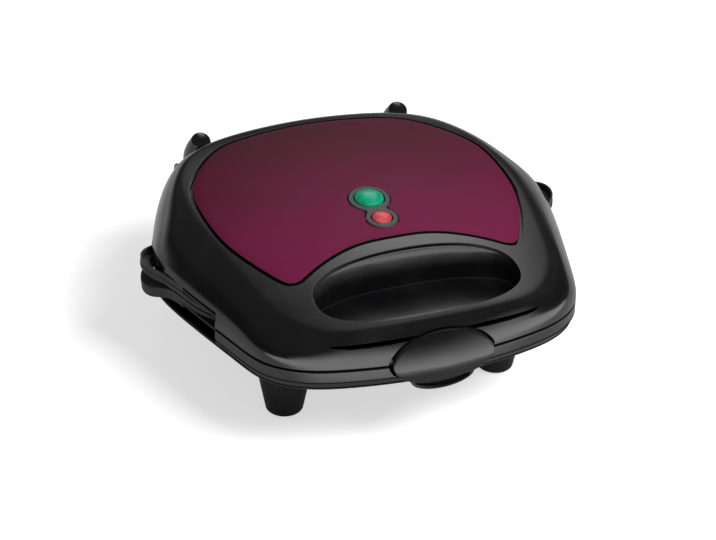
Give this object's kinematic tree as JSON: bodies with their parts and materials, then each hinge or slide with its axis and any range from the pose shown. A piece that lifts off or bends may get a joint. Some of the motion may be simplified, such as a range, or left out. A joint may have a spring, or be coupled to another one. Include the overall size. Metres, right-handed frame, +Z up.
{
  "type": "sandwich and waffle maker",
  "caption": "Countertop cooker with a hinged lid over two removable triangle-pocket plates, a front snap latch, indicator lamps, scooped lifting well and tapered feet.",
  "frame": {"origin": "centre of the bounding box's footprint, on the plane of the feet's rubber pads", "axes": "+Z up; -Y towards the latch at the front, +Y towards the hinge at the rear; +X to the right-hand side as seen from the front"},
  "size_m": [0.2634, 0.2608, 0.1083],
  "materials": {
    "gloss_black": "gloss moulded plastic",
    "dark_plastic": "satin moulded plastic",
    "maroon_insert": "satin lacquered insert",
    "grey_bezel": "satin",
    "green_lens": "tinted clear lens",
    "red_lens": "tinted clear lens",
    "lamp_glass": "clear",
    "coated_plate": "matt non-stick coating on cast aluminium",
    "heatproof_plastic": "matt heat-resistant plastic",
    "aluminium_sheet": "bright pressed sheet",
    "bright_steel": "zinc plated",
    "element_sheath": "heat-darkened steel sheath",
    "ceramic": "unglazed ceramic",
    "rubber": "matt"
  },
  "bodies": {
    "base": {"lower_casing": "gloss_black", "lower_frame": "heatproof_plastic", "lower_reflector": "aluminium_sheet", "lower_heating_element": "element_sheath", "lower_cooking_plate": "coated_plate", "foot_front_left": "dark_plastic", "foot_front_right": "dark_plastic", "foot_rear_left": "dark_plastic", "foot_rear_right": "dark_plastic", "foot_pad_front_left": "rubber", "foot_pad_front_right": "rubber", "foot_pad_rear_left": "rubber", "foot_pad_rear_right": "rubber", "foot_screw_front_left": "bright_steel", "foot_screw_front_right": "bright_steel", "foot_screw_rear_left": "bright_steel", "foot_screw_rear_right": "bright_steel", "lower_screw_front_left": "bright_steel", "lower_screw_front_right": "bright_steel", "lower_screw_rear_left": "bright_steel", "lower_screw_rear_right": "bright_steel", "terminal_block": "ceramic", "thermal_fuse": "ceramic", "cord_inlet": "rubber", "hinge_pin_left": "bright_steel", "hinge_pin_right": "bright_steel", "lower_saddle_left": "ceramic", "lower_saddle_right": "ceramic"},
    "lid": {"upper_casing": "gloss_black", "trim_plate": "maroon_insert", "lamp_bezel": "grey_bezel", "green_lens": "green_lens", "red_lens": "red_lens", "green_lamp": "lamp_glass", "red_lamp": "lamp_glass", "lamp_holder": "heatproof_plastic", "upper_frame": "heatproof_plastic", "upper_reflector": "aluminium_sheet", "upper_heating_element": "element_sheath", "upper_cooking_plate": "coated_plate", "thermostat": "ceramic", "upper_screw_front_left": "bright_steel", "upper_screw_front_right": "bright_steel", "upper_screw_rear_left": "bright_steel", "upper_screw_rear_right": "bright_steel", "upper_saddle_left": "ceramic", "upper_saddle_right": "ceramic", "latch_pin": "bright_steel", "latch_spring": "bright_steel"},
    "latch": {"latch": "gloss_black"},
    "lower_clip": {"lower_plate_clip": "heatproof_plastic"},
    "upper_clip": {"upper_plate_clip": "heatproof_plastic"}
  },
  "joints": [
    {"name": "lid_hinge", "type": "hinge", "parent": "base", "child": "lid", "pos_m": [0, 0.12375, 0.065], "axis": [-1, 0, 0], "range_deg": [0, 95]},
    {"name": "latch_pivot", "type": "hinge", "parent": "lid", "child": "latch", "pos_m": [0, -0.12125, 0.0735], "axis": [-1, 0, 0], "range_deg": [0, 20], "stiffness_Nm_per_rad": 0.02, "springref_deg": -28.65},
    {"name": "lower_clip_slide", "type": "slide", "parent": "base", "child": "lower_clip", "axis": [0, -1, 0], "range_m": [0, 0.004]},
    {"name": "upper_clip_slide", "type": "slide", "parent": "lid", "child": "upper_clip", "axis": [0, -1, 0], "range_m": [0, 0.004]}
  ]
}
